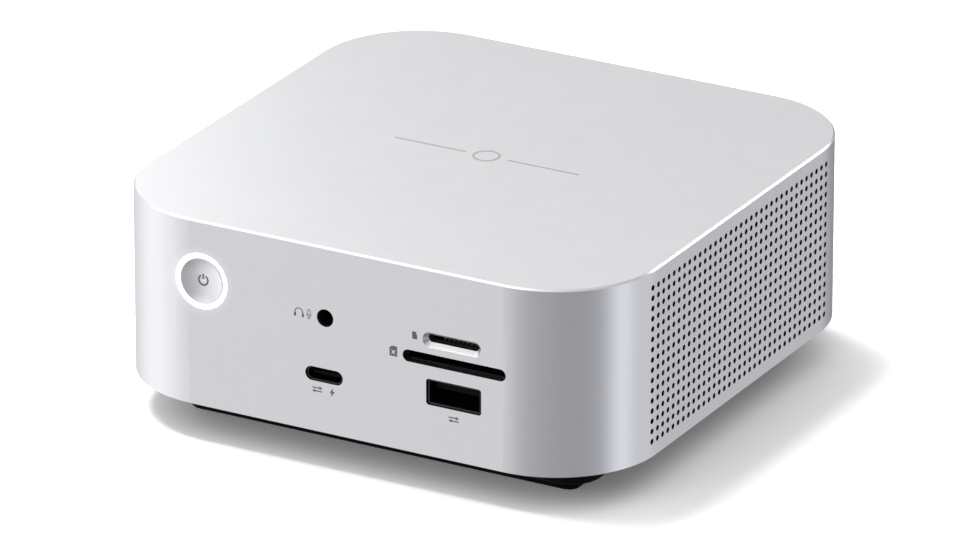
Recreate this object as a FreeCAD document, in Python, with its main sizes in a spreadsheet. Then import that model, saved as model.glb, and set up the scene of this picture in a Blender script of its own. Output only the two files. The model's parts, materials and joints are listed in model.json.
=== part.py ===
import FreeCAD, Part
import math
import os
import re

import Sketcher

# Laptop docking station: a drilled aluminium block on a narrower black base.
# Frame: +Z up, the front faces -Y, the origin is the middle of the foot's underside. Millimetres.

Vector = FreeCAD.Vector
DOC = FreeCAD.newDocument("DockingStation")
SHEET = DOC.addObject("Spreadsheet::Sheet", "Sizes")

SIZES = {
    # housing
    "width": 127.0,
    "corner": 24.4,
    "wall": 2.2,
    "roof": 2.4,
    "edge_break": 0.4,
    "shell_base": 8.3,
    "shell_tall": 43.8,
    "post_place": 46.0,
    "post_dia": 6.4,
    "thread_dia": 2.5,
    # side grilles
    "hole_dia": 1.3,
    "hole_pitch": 2.4,
    "hole_columns": 35,
    "hole_rows": 16,
    "hole_first": 12.07,
    # base
    "flange_gap": 0.3,
    "flange_thick": 2.5,
    "plinth_half": 54.3,
    "plinth_corner": 7.5,
    "plinth_base": 3.8,
    "plinth_wall": 2.3,
    "floor_thick": 3.0,
    "boss_dia": 7.4,
    "foot_half": 48.8,
    "foot_corner": 3.0,
    "foot_window": 43.2,
    # storage bay
    "door_wide": 84.0,
    "door_deep": 28.0,
    "door_thick": 1.6,
    "door_gap": 0.3,
    "door_shift": 10.0,
    "ledge": 3.0,
    "door_screw": 39.5,
    # boards
    "board_top": 20.3,
    "board_thick": 1.6,
    "board_half": 58.0,
    "card_board_top": 34.9,
    # front ports, from left to right and from low to high
    "button_left": -35.9,
    "button_high": 37.95,
    "ring_dia": 13.1,
    "ring_bore": 11.1,
    "cap_dia": 10.9,
    "dish_radius": 16.0,
    "dish_depth": 0.86,
    "travel": 0.45,
    "jack_left": -4.85,
    "jack_high": 35.5,
    "jack_hole": 4.1,
    "jack_bore": 3.6,
    "usb_c_left": -5.2,
    "usb_c_slot_wide": 9.4,
    "usb_c_slot_tall": 3.35,
    "usb_c_wide": 8.94,
    "usb_c_tall": 3.2,
    "usb_a_left": 27.0,
    "usb_a_high": 23.48,
    "usb_a_hole_wide": 13.6,
    "usb_a_hole_tall": 6.1,
    "usb_a_wide": 13.1,
    "usb_a_tall": 5.75,
    "card_left": 27.1,
    "sd_high": 30.95,
    "sd_slot_wide": 25.4,
    "sd_slot_tall": 2.8,
    "microsd_left": 26.55,
    "microsd_high": 35.82,
    "microsd_slot_wide": 12.45,
    "microsd_slot_tall": 1.9,
    "scoop_depth": 1.0,
    "scoop_lip": 0.6,
    # rear ports
    "rear_usb_c_pitch": 12.0,
    "rear_usb_c_first": -0.5,
    "rear_usb_a_left": -14.5,
    "rear_usb_a_pitch": 7.6,
    "network_left": -31.0,
    "network_wide": 15.9,
    "network_tall": 13.3,
    "network_deep": 18.0,
    "inlet_left": 34.5,
    "inlet_high": 26.5,
    "inlet_dia": 8.2,
    "inlet_bore": 6.3,
    # cooling
    "fan_size": 60.0,
    "fan_thick": 10.0,
    "fan_bore": 56.8,
    "fan_shift": 12.0,
    "fan_screw": 25.5,
    "rotor_dia": 55.6,
    "hub_dia": 24.0,
    "shaft_dia": 2.0,
    "sink_base": 22.6,
    "sink_top": 33.5,
    "fin_pitch": 4.0,
    "fin_thick": 1.2,
}
GRID = ("hole_columns", "hole_rows")
PLANES = {"top": "XY_Plane", "front": "XZ_Plane", "side": "YZ_Plane"}
FOUR = [("", ""), ("-", ""), ("", "-"), ("-", "-")]
NODES = []
RULER = DOC.addObject("App::FeaturePython", "Ruler")
RULER.addProperty("App::PropertyFloat", "Reading")


def fill_sheet():
    for row, (name, value) in enumerate(SIZES.items(), 1):
        SHEET.set(f"A{row}", name)
        SHEET.set(f"B{row}", str(value))
        SHEET.setAlias(f"B{row}", name)
    DOC.recompute()


def sized(text):
    """An expression in which every size's name points at its cell."""
    def cell(found):
        word = found.group()
        return f"Sizes.{word}" if word in SIZES else word

    return re.sub(r"[a-z_]+", cell, str(text))


def value(text):
    """What an expression comes to now, so that a sketch starts close to its final shape."""
    RULER.setExpression("Reading", sized(text))
    RULER.recompute()
    return RULER.Reading


def bind(thing, **expressions):
    for name, text in expressions.items():
        thing.setExpression(name, sized(text))


def place(thing, x=0, y=0, z=0, turn=0, axis=Vector(0, 0, 1)):
    thing.Placement = FreeCAD.Placement(Vector(), FreeCAD.Rotation(axis, turn))
    for name, text in zip("xyz", (x, y, z)):
        thing.setExpression("Placement.Base." + name, sized(text))


def node(label, thing):
    """Keeps one finished sub-part under the name that its file gets."""
    thing.Label = label
    NODES.append(thing)
    return thing


# sketches


def origin_feature(body, role):
    return next(f for f in body.Origin.OriginFeatures if f.Role == role)


def sketch(body, name, plane, x=0, y=0, z=0):
    drawn = body.newObject("Sketcher::SketchObject", f"{body.Name}_{name}")
    drawn.AttachmentSupport = (origin_feature(body, PLANES[plane]), [""])
    drawn.MapMode = "FlatFace"
    local = {"top": (x, y, z), "front": (x, z, f"-({y})"), "side": (y, z, x)}[plane]
    for name, text in zip("xyz", local):
        drawn.setExpression("AttachmentOffset.Base." + name, sized(text))
    return drawn


def measure(drawn, kind, text, *where):
    number = drawn.addConstraint(Sketcher.Constraint(kind, *where, value(text)))
    drawn.setExpression(f"Constraints[{number}]", sized(text))


def draw_rounded(drawn, wide, tall, radius):
    """A rectangle about the sketch's origin, its corners rounded by tangent arcs."""
    line = Part.LineSegment
    a, b, r = value(wide) / 2, value(tall) / 2, value(radius)
    drawn.addGeometry([
        line(Vector(r - a, -b), Vector(a - r, -b)),
        line(Vector(a, r - b), Vector(a, b - r)),
        line(Vector(a - r, b), Vector(r - a, b)),
        line(Vector(-a, b - r), Vector(-a, r - b)),
    ], False)
    for i, (x, y) in enumerate([(1, -1), (1, 1), (-1, 1), (-1, -1)]):
        centre = Vector(x * (a - r), y * (b - r))
        start = math.pi * (i - 1) / 2
        circle = Part.Circle(centre, Vector(0, 0, 1), r)
        drawn.addGeometry(Part.ArcOfCircle(circle, start, start + math.pi / 2), False)
    for i in range(4):
        drawn.addConstraint(Sketcher.Constraint("Tangent", i, 2, 4 + i, 1))
        drawn.addConstraint(Sketcher.Constraint("Tangent", 4 + i, 2, (i + 1) % 4, 1))
        drawn.addConstraint(Sketcher.Constraint("Vertical" if i % 2 else "Horizontal", i))
    for i in (4, 5, 6):
        drawn.addConstraint(Sketcher.Constraint("Equal", i, i + 1))
    drawn.addConstraint(Sketcher.Constraint("Symmetric", 4, 3, 6, 3, -1, 1))
    measure(drawn, "Radius", radius, 4)
    measure(drawn, "DistanceY", tall, 0, 2, 2, 1)
    measure(drawn, "DistanceX", wide, 3, 2, 1, 1)


def draw_slot(drawn, wide, tall):
    """A slot about the sketch's origin, with full round ends."""
    r = value(tall) / 2
    a = value(wide) / 2 - r
    drawn.addGeometry([
        Part.LineSegment(Vector(-a, -r), Vector(a, -r)),
        Part.LineSegment(Vector(a, r), Vector(-a, r)),
    ], False)
    for x, start in ((a, -math.pi / 2), (-a, math.pi / 2)):
        circle = Part.Circle(Vector(x, 0), Vector(0, 0, 1), r)
        drawn.addGeometry(Part.ArcOfCircle(circle, start, start + math.pi), False)
    for ends in ((0, 2, 2, 1), (2, 2, 1, 1), (1, 2, 3, 1), (3, 2, 0, 1)):
        drawn.addConstraint(Sketcher.Constraint("Tangent", *ends))
    drawn.addConstraint(Sketcher.Constraint("Horizontal", 0))
    drawn.addConstraint(Sketcher.Constraint("Equal", 2, 3))
    drawn.addConstraint(Sketcher.Constraint("Symmetric", 2, 3, 3, 3, -1, 1))
    measure(drawn, "DistanceY", tall, 0, 2, 1, 1)
    measure(drawn, "DistanceX", f"{wide} - ({tall})", 3, 3, 2, 3)


def draw_discs(drawn, dia, points=(("0", "0"),)):
    for x, y in points:
        circle = Part.Circle(Vector(value(x), value(y)), Vector(0, 0, 1), value(dia) / 2)
        round_one = drawn.addGeometry(circle, False)
        measure(drawn, "Diameter", dia, round_one)
        measure(drawn, "DistanceX", x, -1, 1, round_one, 3)
        measure(drawn, "DistanceY", y, -1, 1, round_one, 3)


def draw_outline(drawn, points):
    """A closed outline of straight lines through points, anticlockwise."""
    count = len(points)
    corners = [Vector(value(x), value(y)) for x, y in points]
    for i in range(count):
        drawn.addGeometry(Part.LineSegment(corners[i], corners[(i + 1) % count]), False)
    for i in range(count):
        drawn.addConstraint(Sketcher.Constraint("Coincident", i, 2, (i + 1) % count, 1))
    for i, (x, y) in enumerate(points):
        measure(drawn, "DistanceX", x, -1, 1, i, 1)
        measure(drawn, "DistanceY", y, -1, 1, i, 1)


# features


def new_body(label):
    body = DOC.addObject("PartDesign::Body", label)
    return node(label, body)


def pad(body, drawn, length, back=False):
    feature = body.newObject("PartDesign::Pad", drawn.Name + "_pad")
    feature.Profile = drawn
    feature.Reversed = back
    bind(feature, Length=length)
    return feature


def pocket(body, drawn, length, back=False, taper=0):
    """Cuts against the sketch's normal, or along it where back is set, and makes sure that it cuts."""
    DOC.recompute()
    before = body.Shape.Volume
    feature = body.newObject("PartDesign::Pocket", drawn.Name + "_pocket")
    feature.Profile = drawn
    feature.Reversed = back
    feature.TaperAngle = taper
    bind(feature, Length=length)
    DOC.recompute()
    if body.Shape.Volume >= before:
        raise RuntimeError(f"{feature.Name} cuts nothing")
    return feature


def spin(body, drawn):
    feature = body.newObject("PartDesign::Revolution", drawn.Name + "_turned")
    feature.Profile = drawn
    feature.ReferenceAxis = (drawn, ["V_Axis"])
    feature.Angle = 360
    return feature


def row_of(body, feature, axis, length, count, second=None):
    """Repeats a feature along one of the body's axes, or over a grid along two."""
    pattern = body.newObject("PartDesign::LinearPattern", feature.Name + "_row")
    pattern.Originals = [feature]
    pattern.Direction = (origin_feature(body, axis), [""])
    bind(pattern, Length=length, Occurrences=count)
    if second:
        pattern.Direction2 = (origin_feature(body, second[0]), [""])
        bind(pattern, Length2=second[1], Occurrences2=second[2])
    body.Tip = pattern
    return pattern


def edges_at(shape, z):
    """The names of a shape's edges that lie wholly at one height."""
    flat = [abs(e.BoundBox.ZMin - z) < 1e-4 and abs(e.BoundBox.ZMax - z) < 1e-4 for e in shape.Edges]
    return [f"Edge{i}" for i, lies in enumerate(flat, 1) if lies]


def break_edges(body, names, size, kind="Chamfer"):
    tip = body.Tip
    feature = body.newObject("PartDesign::" + kind, f"{tip.Name}_{kind}")
    feature.Base = (tip, names)
    bind(feature, **{"Size" if kind == "Chamfer" else "Radius": size})
    DOC.recompute()
    return feature


def block(body, name, x, y, z, wide, deep, tall, radius=None):
    """A pad of rectangular plan, centred on x and y, standing on z."""
    drawn = sketch(body, name, "top", x, y, z)
    if radius is None:
        draw_outline(drawn, rectangle(wide, deep))
    else:
        draw_rounded(drawn, wide, deep, radius)
    return pad(body, drawn, tall)


def rectangle(wide, tall):
    a, b = f"({wide}) / 2", f"({tall}) / 2"
    return [(a, b), ("-" + a, b), ("-" + a, "-" + b), (a, "-" + b)]


# primitives


def box(name, x, y, z, wide, deep, tall):
    """A box centred on x and y, standing on z."""
    thing = DOC.addObject("Part::Box", name)
    bind(thing, Length=wide, Width=deep, Height=tall)
    place(thing, f"{x} - ({wide}) / 2", f"{y} - ({deep}) / 2", z)
    return thing


def rod(name, x, y, z, dia, tall, turn=0, axis=Vector(1, 0, 0)):
    """A cylinder that stands on its given point, along +Z or turned about axis from there."""
    thing = DOC.addObject("Part::Cylinder", name)
    bind(thing, Radius=f"({dia}) / 2", Height=tall)
    place(thing, x, y, z, turn, axis)
    return thing


def joined(name, *pieces):
    thing = DOC.addObject("Part::MultiFuse", name)
    thing.Shapes = list(pieces)
    return thing


def less(name, base, tool):
    thing = DOC.addObject("Part::Cut", name)
    thing.Base = base
    thing.Tool = tool
    return thing


def group(name, pieces):
    thing = DOC.addObject("Part::Compound", name)
    thing.Links = pieces
    return thing


def screw(name, x, y, z, head, head_tall, shank, reach, down=True):
    """A pan-head screw whose head sits on z. It points down, or up from under z."""
    under = f"{z} - {head_tall}"
    top = rod(name + "_head", x, y, z if down else under, head, head_tall)
    stem = rod(name + "_shank", x, y, f"{z} - ({reach})" if down else z, shank, reach)
    drive_base = f"{z} + {head_tall} * 0.45" if down else under
    drive = rod(name + "_drive", x, y, drive_base, f"{head} * 0.4", f"{head_tall} * 0.55")
    return less(name, joined(name + "_blank", top, stem), drive)


# housing and base


def make_shell():
    body = new_body("shell")
    outer = sketch(body, "outer", "top", z="shell_base")
    draw_rounded(outer, "width", "width", "corner")
    pad(body, outer, "shell_tall")
    DOC.recompute()
    top = SIZES["shell_base"] + SIZES["shell_tall"]
    break_edges(body, edges_at(body.Shape, top), "edge_break")
    break_edges(body, edges_at(body.Shape, SIZES["shell_base"]), "edge_break * 0.4")
    hollow = sketch(body, "hollow", "top", z="shell_base")
    draw_rounded(hollow, "width - 2 * wall", "width - 2 * wall", "corner - wall")
    pocket(body, hollow, "shell_tall - roof", back=True)
    posts = sketch(body, "posts", "top", z="shell_base + shell_tall - roof")
    draw_discs(posts, "post_dia", [(a + "post_place", b + "post_place") for a, b in FOUR])
    pad(body, posts, "shell_tall - roof - flange_thick - 1.3", back=True)
    threads = sketch(body, "threads", "top", z="shell_base + flange_thick + 1.3")
    draw_discs(threads, "thread_dia", [(a + "post_place", b + "post_place") for a, b in FOUR])
    pocket(body, threads, "9", back=True)
    cut_front(body)
    cut_rear(body)
    drill_grilles(body)


def cut_front(body):
    """The openings in the front wall, each cut straight through it."""
    face = "-width / 2"
    round_holes = [
        ("button", "button_left", "button_high", "ring_dia"),
        ("jack", "jack_left", "jack_high", "jack_hole"),
    ]
    for name, x, z, dia in round_holes:
        drawn = sketch(body, name, "front", x, face, z)
        draw_discs(drawn, dia)
        pocket(body, drawn, "wall + 1")
    slots = [
        ("usb_c", "usb_c_left", "board_top + usb_c_tall / 2", "usb_c_slot_wide", "usb_c_slot_tall"),
        ("sd", "card_left", "sd_high", "sd_slot_wide", "sd_slot_tall"),
        ("microsd", "microsd_left", "microsd_high", "microsd_slot_wide", "microsd_slot_tall"),
    ]
    for name, x, z, wide, tall in slots:
        drawn = sketch(body, name, "front", x, face, z)
        draw_slot(drawn, wide, tall)
        pocket(body, drawn, "wall")
    usb_a = sketch(body, "usb_a", "front", "usb_a_left", face, "usb_a_high")
    draw_rounded(usb_a, "usb_a_hole_wide", "usb_a_hole_tall", "0.7")
    pocket(body, usb_a, "wall")
    # the finger scoop under the microSD slot, its sides sloping in to the slot at 45 degrees
    middle = "microsd_high + (scoop_lip - scoop_depth) / 2"
    scoop = sketch(body, "scoop", "front", "microsd_left", face, middle)
    draw_slot(scoop, "microsd_slot_wide + 2 * scoop_depth", "microsd_slot_tall + scoop_depth + scoop_lip")
    pocket(body, scoop, "scoop_depth", taper=-45)


def cut_rear(body):
    face = "width / 2"
    for i in range(3):
        x = f"rear_usb_c_first + {i} * rear_usb_c_pitch"
        drawn = sketch(body, f"rear_usb_c_{i}", "front", x, face, "board_top + usb_c_tall / 2")
        draw_slot(drawn, "usb_c_slot_wide", "usb_c_slot_tall")
        pocket(body, drawn, "wall", back=True)
    for i in range(2):
        z = f"usb_a_high + {i} * rear_usb_a_pitch"
        drawn = sketch(body, f"rear_usb_a_{i}", "front", "rear_usb_a_left", face, z)
        draw_rounded(drawn, "usb_a_hole_wide", "usb_a_hole_tall", "0.7")
        pocket(body, drawn, "wall", back=True)
    network = sketch(body, "network", "front", "network_left", face, "board_top + network_tall / 2")
    draw_rounded(network, "network_wide + 0.2", "network_tall + 0.2", "0.4")
    pocket(body, network, "wall", back=True)
    inlet = sketch(body, "inlet", "front", "inlet_left", face, "inlet_high")
    draw_discs(inlet, "inlet_dia + 0.2")
    pocket(body, inlet, "wall", back=True)


def drill_grilles(body):
    """A square grid of small holes, drilled through the left and the right wall alike."""
    span = "(hole_columns - 1) * hole_pitch"
    first = sketch(body, "grille", "side", "width / 2", f"-{span} / 2", "hole_first")
    draw_discs(first, "hole_dia")
    hole = pocket(body, first, "width")
    row_of(body, hole, "Y_Axis", span, GRID[0], ("Z_Axis", "(hole_rows - 1) * hole_pitch", GRID[1]))
    DOC.recompute()


def make_base():
    body = new_body("bottom_cover")
    flange = "width - 2 * wall - 2 * flange_gap"
    block(body, "flange", 0, 0, "shell_base", flange, flange, "flange_thick", "corner - wall - flange_gap")
    tall = "shell_base - plinth_base"
    block(body, "plinth", 0, 0, "plinth_base", "2 * plinth_half", "2 * plinth_half", tall, "plinth_corner")
    DOC.recompute()
    break_edges(body, edges_at(body.Shape, SIZES["plinth_base"]), "0.4")
    tray = sketch(body, "tray", "top", z="plinth_base + floor_thick")
    inner = "2 * plinth_half - 2 * plinth_wall"
    draw_rounded(tray, inner, inner, "plinth_corner - plinth_wall")
    pocket(body, tray, "shell_base + flange_thick - plinth_base - floor_thick", back=True)
    corners = [(a + "post_place", b + "post_place") for a, b in FOUR]
    bosses = sketch(body, "bosses", "top", z="plinth_base + floor_thick")
    draw_discs(bosses, "boss_dia", corners)
    pad(body, bosses, "shell_base + flange_thick + 1.2 - plinth_base - floor_thick")
    for name, dia, depth in (("heads", "5", "2.4"), ("shanks", "2.8", "9")):
        drawn = sketch(body, name, "top", z="plinth_base")
        draw_discs(drawn, dia, corners)
        pocket(body, drawn, depth, back=True)
    for name, cut, depth, lip in (
        ("door_seat", "0", "door_thick", "1.5"),
        ("door_way", "2 * ledge", "floor_thick", "1"),
    ):
        drawn = sketch(body, name, "top", 0, "door_shift", "plinth_base")
        draw_rounded(drawn, f"door_wide - {cut}", f"door_deep - {cut}", lip)
        pocket(body, drawn, depth, back=True)
    ears = sketch(body, "ears", "top", 0, "door_shift", "plinth_base + door_thick")
    sides = [("door_screw", "0"), ("-door_screw", "0")]
    draw_discs(ears, "7", sides)
    pad(body, ears, "floor_thick - door_thick")
    threads = sketch(body, "door_threads", "top", 0, "door_shift", "plinth_base")
    draw_discs(threads, "2", sides)
    pocket(body, threads, "floor_thick", back=True)

    foot = new_body("rubber_foot")
    block(foot, "ring", 0, 0, 0, "2 * foot_half", "2 * foot_half", "plinth_base", "foot_corner")
    window = sketch(foot, "window", "top")
    draw_rounded(window, "2 * foot_window", "2 * foot_window", "foot_corner")
    pocket(foot, window, "plinth_base", back=True)
    DOC.recompute()
    break_edges(foot, edges_at(foot.Shape, 0.0), "0.5")

    screws = [
        screw(f"cover_screw_{i}", a + "post_place", b + "post_place", "plinth_base + 2.4",
              "4.6", "1.9", "thread_dia - 0.06", "13", down=False)
        for i, (a, b) in enumerate(FOUR)
    ]
    node("cover_screws", group("cover_screws", screws))


def make_storage_bay():
    door = new_body("ssd_door")
    wide, deep = "door_wide - 2 * door_gap", "door_deep - 2 * door_gap"
    block(door, "plate", 0, "door_shift", "plinth_base", wide, deep, "door_thick", "1.2")
    DOC.recompute()
    break_edges(door, edges_at(door.Shape, SIZES["plinth_base"]), "0.25")
    sides = [("door_screw", "0"), ("-door_screw", "0")]
    for name, dia, depth in (("heads", "4", "0.9"), ("shanks", "2.2", "door_thick")):
        drawn = sketch(door, name, "top", 0, "door_shift", "plinth_base")
        draw_discs(drawn, dia, sides)
        pocket(door, drawn, depth, back=True)
    grip = sketch(door, "grip", "top", 0, "door_shift - door_deep / 2 + 3", "plinth_base")
    draw_slot(grip, "14", "2.4")
    pocket(door, grip, "0.7", back=True)
    seat = "plinth_base + 0.9"
    screws = [
        screw(f"door_screw_{i}", x, "door_shift", seat, "3.7", "0.85", "1.9", "2", down=False)
        for i, x in enumerate(("door_screw", "-door_screw"))
    ]
    node("ssd_door_screws", group("ssd_door_screws", screws))
    wide, deep = "door_wide - 2 * ledge - 10", "door_deep - 2 * ledge - 2"
    cushion = box("ssd_thermal_pad", 0, "door_shift", "plinth_base + door_thick", wide, deep, "1.5")
    node("ssd_thermal_pad", cushion)

    # the slot for the storage card hangs under the main board, its mouth facing the standoff
    under = "board_top - board_thick"
    slot = new_body("m_two_connector")
    block(slot, "body", "-38", "door_shift", f"{under} - 4.2", "6", "22", "4.2", "0.4")
    mouth = sketch(slot, "mouth", "side", "-35", "door_shift", f"{under} - 2.3")
    draw_outline(mouth, rectangle("20", "1.1"))
    pocket(slot, mouth, "4")
    keyway = sketch(slot, "keyway", "side", "-35", "door_shift", f"{under} - 3.4")
    draw_outline(keyway, rectangle("17", "0.5"))
    pocket(slot, keyway, "1")
    post = rod("ssd_post", "41", "door_shift", f"{under} - 3", "5.5", "3")
    thread = rod("ssd_thread", "41", "door_shift", f"{under} - 3", "2.1", "2.6")
    node("ssd_standoff", less("ssd_standoff", post, thread))


# boards


STAND_PLACES = [("-49", "-20"), ("49", "-20"), ("-49", "28"), ("49", "28"), ("-24", "-44"), ("20", "48")]
CHIP_PLACES = [("-49", "6", 9), ("-44", "-13.5", 8), ("36", "-16", 9), ("-8", "-42", 7), ("51.5", "8", 6)]


def make_boards():
    main = new_body("main_board")
    z = "board_top - board_thick"
    block(main, "plate", 0, 0, z, "2 * board_half", "2 * board_half", "board_thick", "18")
    holes = sketch(main, "post_holes", "top", z=z)
    draw_discs(holes, "post_dia + 1.6", [(a + "post_place", b + "post_place") for a, b in FOUR])
    pocket(main, holes, "board_thick", back=True)
    small = sketch(main, "screw_holes", "top", z=z)
    draw_discs(small, "3", STAND_PLACES)
    pocket(main, small, "board_thick", back=True)
    legs = sketch(main, "leg_holes", "top", 0, "fan_shift", z)
    draw_discs(legs, "3", [(a + "fan_screw", b + "fan_screw") for a, b in FOUR])
    pocket(main, legs, "board_thick", back=True)

    stands, screws = [], []
    for i, (x, y) in enumerate(STAND_PLACES):
        low = "plinth_base + floor_thick"
        post = rod(f"stand_{i}_post", x, y, low, "5", f"{z} - ({low})")
        thread = rod(f"stand_{i}_thread", x, y, f"{z} - 6", "2.1", "6")
        stands.append(less(f"stand_{i}", post, thread))
        screws.append(screw(f"board_screw_{i}", x, y, "board_top", "4.6", "1.6", "2", "6"))
    node("board_standoffs", group("board_standoffs", stands))
    node("board_screws", group("board_screws", screws))

    card = new_body("card_board")
    z = "card_board_top - board_thick"
    plate = sketch(card, "plate", "top", z=z)
    draw_outline(plate, [("-13", "-59.4"), ("42.4", "-59.4"), ("42.4", "-28.5"), ("-13", "-28.5")])
    pad(card, plate, "board_thick")
    notch = sketch(card, "jack_notch", "top", "jack_left", "-54.2", z)
    draw_outline(notch, rectangle("6.8", "12.4"))
    pocket(card, notch, "board_thick", back=True)
    holes = sketch(card, "holes", "top", z=z)
    draw_discs(holes, "2.6", [("-10", "-31.5"), ("40", "-31.5")])
    pocket(card, holes, "board_thick", back=True)
    posts, screws = [], []
    for i, x in enumerate(("-10", "40")):
        post = rod(f"card_post_{i}_blank", x, "-31.5", "board_top", "4.6", f"{z} - board_top")
        thread = rod(f"card_post_{i}_thread", x, "-31.5", f"{z} - 5", "2.1", "5")
        posts.append(less(f"card_post_{i}", post, thread))
        screws.append(screw(f"card_screw_{i}", x, "-31.5", "card_board_top", "4.2", "1.4", "2", "5.5"))
    node("card_board_posts", group("card_board_posts", posts))
    node("card_board_screws", group("card_board_screws", screws))
    node("board_link", box("board_link", "15", "-31.4", "board_top", "30", "5", f"{z} - board_top"))


def make_components():
    """What is soldered to the main board, apart from the ports."""
    chip = box("controller_chip", 0, "fan_shift", "board_top", "16", "16", "1.3")
    node("controller_chip", chip)
    pieces = []
    for i, (x, y, size) in enumerate(CHIP_PLACES):
        pieces.append(box(f"hub_chip_{i}", x, y, "board_top", size, size, "0.9"))
    node("hub_chips", group("hub_chips", pieces))
    coils = []
    for i in range(5):
        y = f"38 - 8.4 * {i}"
        coils.append(box(f"coil_{i}", "42.5", y, "board_top", "7", "7", "3.9"))
    node("power_coils", group("power_coils", coils))
    cans = []
    for i in range(6):
        y = f"40 - 7.4 * {i}"
        foot = box(f"can_{i}_foot", "-38", y, "board_top", "6.6", "6.6", "0.8")
        can = rod(f"can_{i}_can", "-38", y, "board_top + 0.8", "6.3", "5.4")
        cans.append(joined(f"can_{i}", foot, can))
    cans = [can for i, can in enumerate(cans) if i != 4]
    node("capacitors", group("capacitors", cans))


# cooling


def make_heatsink():
    thick = "sink_base - board_top - 1.3"
    node("thermal_pad", box("thermal_pad", 0, "fan_shift", "board_top + 1.3", "18", "18", thick))
    sink = new_body("heatsink")
    corners = [(a + "fan_screw", b + "fan_screw") for a, b in FOUR]
    block(sink, "base", 0, 0, "sink_base", "fan_size - 2", "fan_size - 2", "3", "2")
    tall = "sink_top - sink_base - 3"
    fin = block(sink, "fin", "-7 * fin_pitch", 0, "sink_base + 3", "fin_thick", "fan_size - 2", tall)
    DOC.recompute()
    row_of(sink, fin, "X_Axis", "14 * fin_pitch", "15")
    wells = sketch(sink, "wells", "top", z="sink_top")
    draw_discs(wells, "10", corners)
    pocket(sink, wells, tall)
    legs = sketch(sink, "legs", "top", z="board_top")
    draw_discs(legs, "6.4", corners)
    pad(sink, legs, "sink_top - board_top")
    threads = sketch(sink, "threads", "top", z="board_top")
    draw_discs(threads, "2.5", corners)
    pocket(sink, threads, "sink_top - board_top", back=True)
    place(sink, 0, "fan_shift", 0)
    low = [
        screw(f"sink_screw_{i}", a + "fan_screw", f"fan_shift + {b}fan_screw", "board_top - board_thick",
              "4.6", "1.6", "2.4", "6", down=False)
        for i, (a, b) in enumerate(FOUR)
    ]
    node("heatsink_screws", group("heatsink_screws", low))
    high = [
        screw(f"fan_screw_{i}", a + "fan_screw", f"fan_shift + {b}fan_screw", "sink_top + fan_thick",
              "5", "1.6", "2.4", "fan_thick + 3")
        for i, (a, b) in enumerate(FOUR)
    ]
    node("fan_screws", group("fan_screws", high))


def make_fan():
    """The frame and the rotor are drawn about their own axis, with the frame's underside at zero."""
    frame = new_body("fan_frame")
    block(frame, "square", 0, 0, 0, "fan_size", "fan_size", "fan_thick", "4")
    bore = sketch(frame, "bore", "top")
    draw_discs(bore, "fan_bore")
    pocket(frame, bore, "fan_thick", back=True)
    cup = sketch(frame, "motor_plate", "top")
    draw_discs(cup, "hub_dia")
    pad(frame, cup, "1.2")
    arm = sketch(frame, "arm", "top", "0", "(fan_bore + hub_dia) / 4")
    draw_outline(arm, rectangle("2.4", "(fan_bore - hub_dia) / 2 + 2"))
    strut = pad(frame, arm, "1.2")
    DOC.recompute()
    ring = frame.newObject("PartDesign::PolarPattern", "fan_arms")
    ring.Originals = [strut]
    ring.Axis = (origin_feature(frame, "Z_Axis"), [""])
    ring.Angle = 360
    ring.Occurrences = 4
    frame.Tip = ring
    sleeve = sketch(frame, "bearing", "top")
    draw_discs(sleeve, "shaft_dia + 3")
    pad(frame, sleeve, "6.2")
    hole = sketch(frame, "shaft_hole", "top", z="0.6")
    draw_discs(hole, "shaft_dia + 0.08")
    pocket(frame, hole, "fan_thick", back=True)
    holes = sketch(frame, "screw_holes", "top")
    draw_discs(holes, "3", [(a + "fan_screw", b + "fan_screw") for a, b in FOUR])
    pocket(frame, holes, "fan_thick", back=True)
    place(frame, 0, "fan_shift", "sink_top")

    hub = DOC.addObject("PartDesign::Body", "rotor_hub")
    half = sketch(hub, "hub", "front")
    rim, top, low = "(hub_dia / 2 - 0.4)", "(fan_thick - 0.8)", "2"
    draw_outline(half, [
        ("0", "1"), ("shaft_dia / 2", "1"),
        ("shaft_dia / 2", f"{top} - 1.2"), (f"{rim} - 1.2", f"{top} - 1.2"),
        (f"{rim} - 1.2", low), (rim, low),
        (rim, f"{top} - 0.6"), (f"{rim} - 0.6", top), ("0", top),
    ])
    spin(hub, half)
    DOC.recompute()
    reach, root = SIZES["rotor_dia"] / 2, SIZES["hub_dia"] / 2 - 1
    blade = Part.makeBox(reach, 11.0, 0.9, Vector(0, -5.5, -0.45))
    blade.rotate(Vector(), Vector(1, 0, 0), 34)
    blade.translate(Vector(0, 0, 5.2))
    sweep = Part.makeCylinder(reach, SIZES["fan_thick"]).cut(Part.makeCylinder(root, SIZES["fan_thick"]))
    blade = blade.common(sweep)
    blades = []
    for i in range(9):
        turned = blade.copy()
        turned.rotate(Vector(), Vector(0, 0, 1), 40 * i)
        blades.append(turned)
    wheel = DOC.addObject("Part::Feature", "fan_wheel")
    wheel.Shape = hub.Shape.multiFuse(blades).removeSplitter()
    place(wheel, 0, "fan_shift", "sink_top")
    node("fan_rotor", wheel)


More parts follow.
